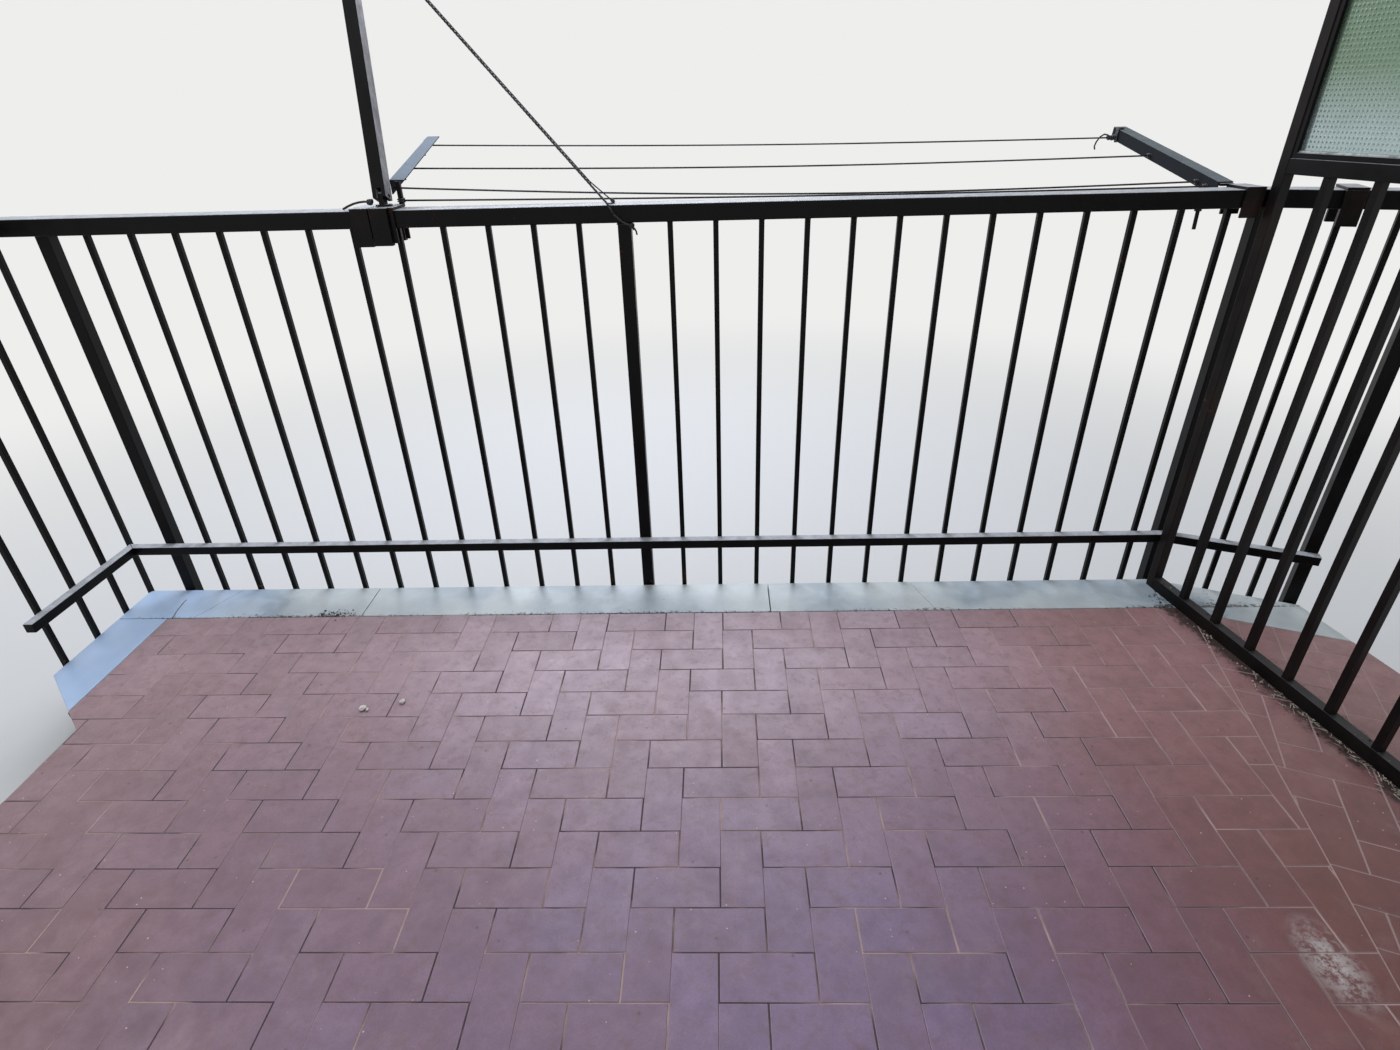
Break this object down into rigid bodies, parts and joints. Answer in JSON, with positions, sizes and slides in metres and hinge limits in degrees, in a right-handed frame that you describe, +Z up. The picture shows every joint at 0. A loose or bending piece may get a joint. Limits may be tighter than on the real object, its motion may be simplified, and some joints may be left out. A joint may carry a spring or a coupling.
{
  "type": "iron balcony",
  "caption": "Wall-hung balcony: slab with clay tile floor and marble edging, black iron baluster railing, glazed divider screen, awning arm and a clothes rack over the rail.",
  "frame": {"origin": "on the slab's wall face, at half the slab's thickness, midway along the balcony", "axes": "+X along the wall, to the right for someone who steps out of the door; +Y outwards from the wall; +Z up"},
  "size_m": [3.439, 2.1353, 2.07],
  "materials": {
    "black_iron": "black gloss paint over square tube and bar, weathered, dusty on top, small rust spots",
    "concrete": "cast concrete with a thin grey-white render, stained at the edges",
    "mortar": "grey mortar bed and joints",
    "clay_tile": "red-brown unglazed clay tiles in a square herringbone, worn smooth, dusty",
    "marble": "grey-white marble strips with soft veins, dirt and cracks",
    "pattern_glass": "pale green cast glass with a fine pressed pattern",
    "grey_paint": "light grey paint, weathered",
    "stay_cord": "dark braided cord, pulled tight",
    "washing_line": "dark coated line, pulled tight"
  },
  "bodies": {
    "root": {"slab": "concrete", "screed_bed": "mortar", "tile_field": "clay_tile", "marble_front_left": "marble", "marble_front_mid": "marble", "marble_front_right": "marble", "marble_left": "marble", "marble_stub": "marble", "rail_top_front": "black_iron", "rail_top_left": "black_iron", "rail_top_stub": "black_iron", "rail_low_front": "black_iron", "rail_low_left": "black_iron", "rail_low_stub": "black_iron", "post_left": "black_iron", "post_middle": "black_iron", "post_bend": "black_iron", "post_end": "black_iron", "corner_bar": "black_iron", "panel_left": "black_iron", "panel_middle": "black_iron", "panel_return": "black_iron", "panel_stub": "black_iron", "divider_post": "black_iron", "divider_wall_post": "black_iron", "divider_grille": "black_iron", "divider_mid_rail": "black_iron", "divider_top_rail": "black_iron", "divider_mullion": "black_iron", "glazing_frame_front": "black_iron", "glazing_frame_wall": "black_iron", "glass_front": "pattern_glass", "glass_wall": "pattern_glass", "awning_clamp": "black_iron", "awning_arm": "black_iron", "awning_stay": "stay_cord", "spare_clamp": "black_iron", "rack_clamp_left": "black_iron", "rack_clamp_right": "black_iron", "rack_arm_left": "grey_paint", "rack_arm_right": "grey_paint", "rack_line_1": "washing_line", "rack_line_2": "washing_line", "rack_line_3": "washing_line", "rack_line_4": "washing_line"}
  },
  "joints": []
}
